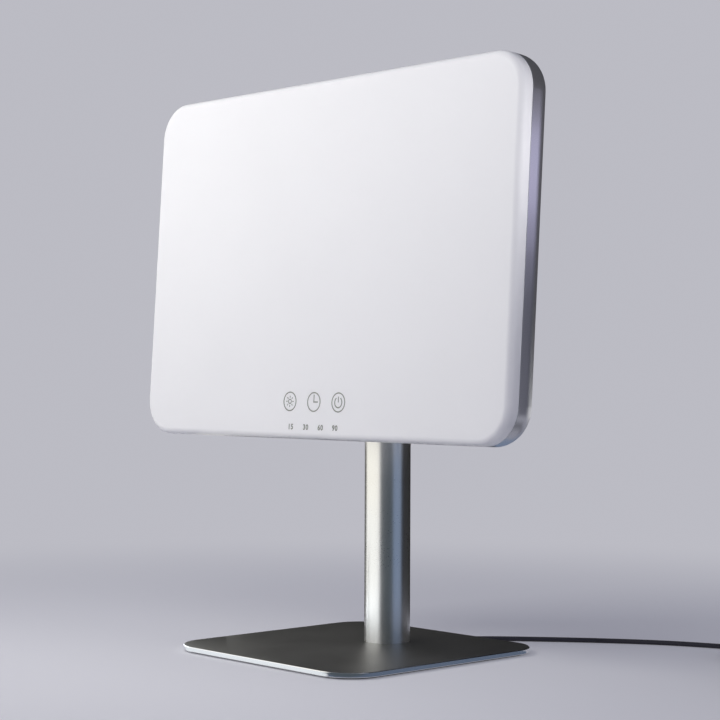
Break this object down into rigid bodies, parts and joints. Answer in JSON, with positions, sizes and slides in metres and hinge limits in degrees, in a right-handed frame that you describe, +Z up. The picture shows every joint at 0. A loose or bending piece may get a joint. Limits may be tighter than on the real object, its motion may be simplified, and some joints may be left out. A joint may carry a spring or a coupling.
{
  "type": "light therapy lamp",
  "caption": "Desk light-therapy lamp: a thin wide light panel with touch and timer marks, tilting on a round metal post that stands on a square metal plate, with a cord and adapter.",
  "frame": {"origin": "middle of the square base plate's footprint, on the surface that the lamp stands on", "axes": "+X to the lamp's own right as one faces the light panel, +Y from the panel's front to the back, +Z up"},
  "size_m": [0.4628, 0.2696, 0.3484],
  "materials": {
    "satin_steel": "sandblasted, satin, dark warm grey",
    "black_rubber": "matte",
    "screw_steel": "zinc plated",
    "plate_steel": "zinc plated sheet",
    "turned_aluminium": "turned",
    "anodised_post": "bead blasted, clear anodised",
    "cast_aluminium": "cast, satin silver paint",
    "nylon": "natural nylon",
    "cord_jacket": "smooth dark jacket",
    "black_plastic": "fine texture",
    "plated_brass": "nickel plated",
    "silver_shell": "satin metallic silver paint",
    "opal_diffuser": "opal, satin",
    "board_aluminium": "white solder mask on an aluminium core",
    "diode_phosphor": "phosphor over a white package",
    "white_film": "matte white reflective film",
    "circuit_board": "green solder mask",
    "conductive_foam": "soft foam",
    "clear_plastic": "clear",
    "component_black": "moulded epoxy",
    "printed_ink": "grey-green marks printed on the diffuser"
  },
  "bodies": {
    "stand": {"base_plate": "satin_steel", "base_pad": "black_rubber", "base_screws": "screw_steel", "cord_relief": "black_rubber", "post_foot": "turned_aluminium", "post_tube": "anodised_post", "post_head": "anodised_post", "head_set_screws": "screw_steel", "post_lead": "cord_jacket", "stop_pin": "screw_steel", "friction_washers": "nylon", "spring_washers": "screw_steel", "pivot_screws": "screw_steel", "cord_tube": "cord_jacket", "cord_coil": "cord_jacket", "coil_tie": "black_plastic", "cord_tail": "cord_jacket", "adapter_relief": "black_rubber", "adapter_body": "black_plastic", "adapter_blades": "plated_brass"},
    "panel": {"tilt_yoke": "cast_aluminium", "yoke_screws": "screw_steel", "backing_plate": "plate_steel", "lead_grommet": "black_rubber", "panel_lead": "cord_jacket", "rear_shell": "silver_shell", "case_screws": "screw_steel", "diffuser": "opal_diffuser", "led_board": "board_aluminium", "leds": "diode_phosphor", "reflector": "white_film", "led_board_screws": "screw_steel", "control_board": "circuit_board", "control_board_screws": "screw_steel", "touch_contacts": "conductive_foam", "timer_leds": "diode_phosphor", "timer_light_guides": "clear_plastic", "control_parts": "component_black", "power_connector": "nylon", "board_jumper": "component_black"}
  },
  "joints": [
    {"name": "panel_tilt", "type": "hinge", "parent": "stand", "child": "panel", "pos_m": [0, 0.0263, 0.2361], "axis": [-1, 0, 0], "range_deg": [-12, 26]}
  ]
}
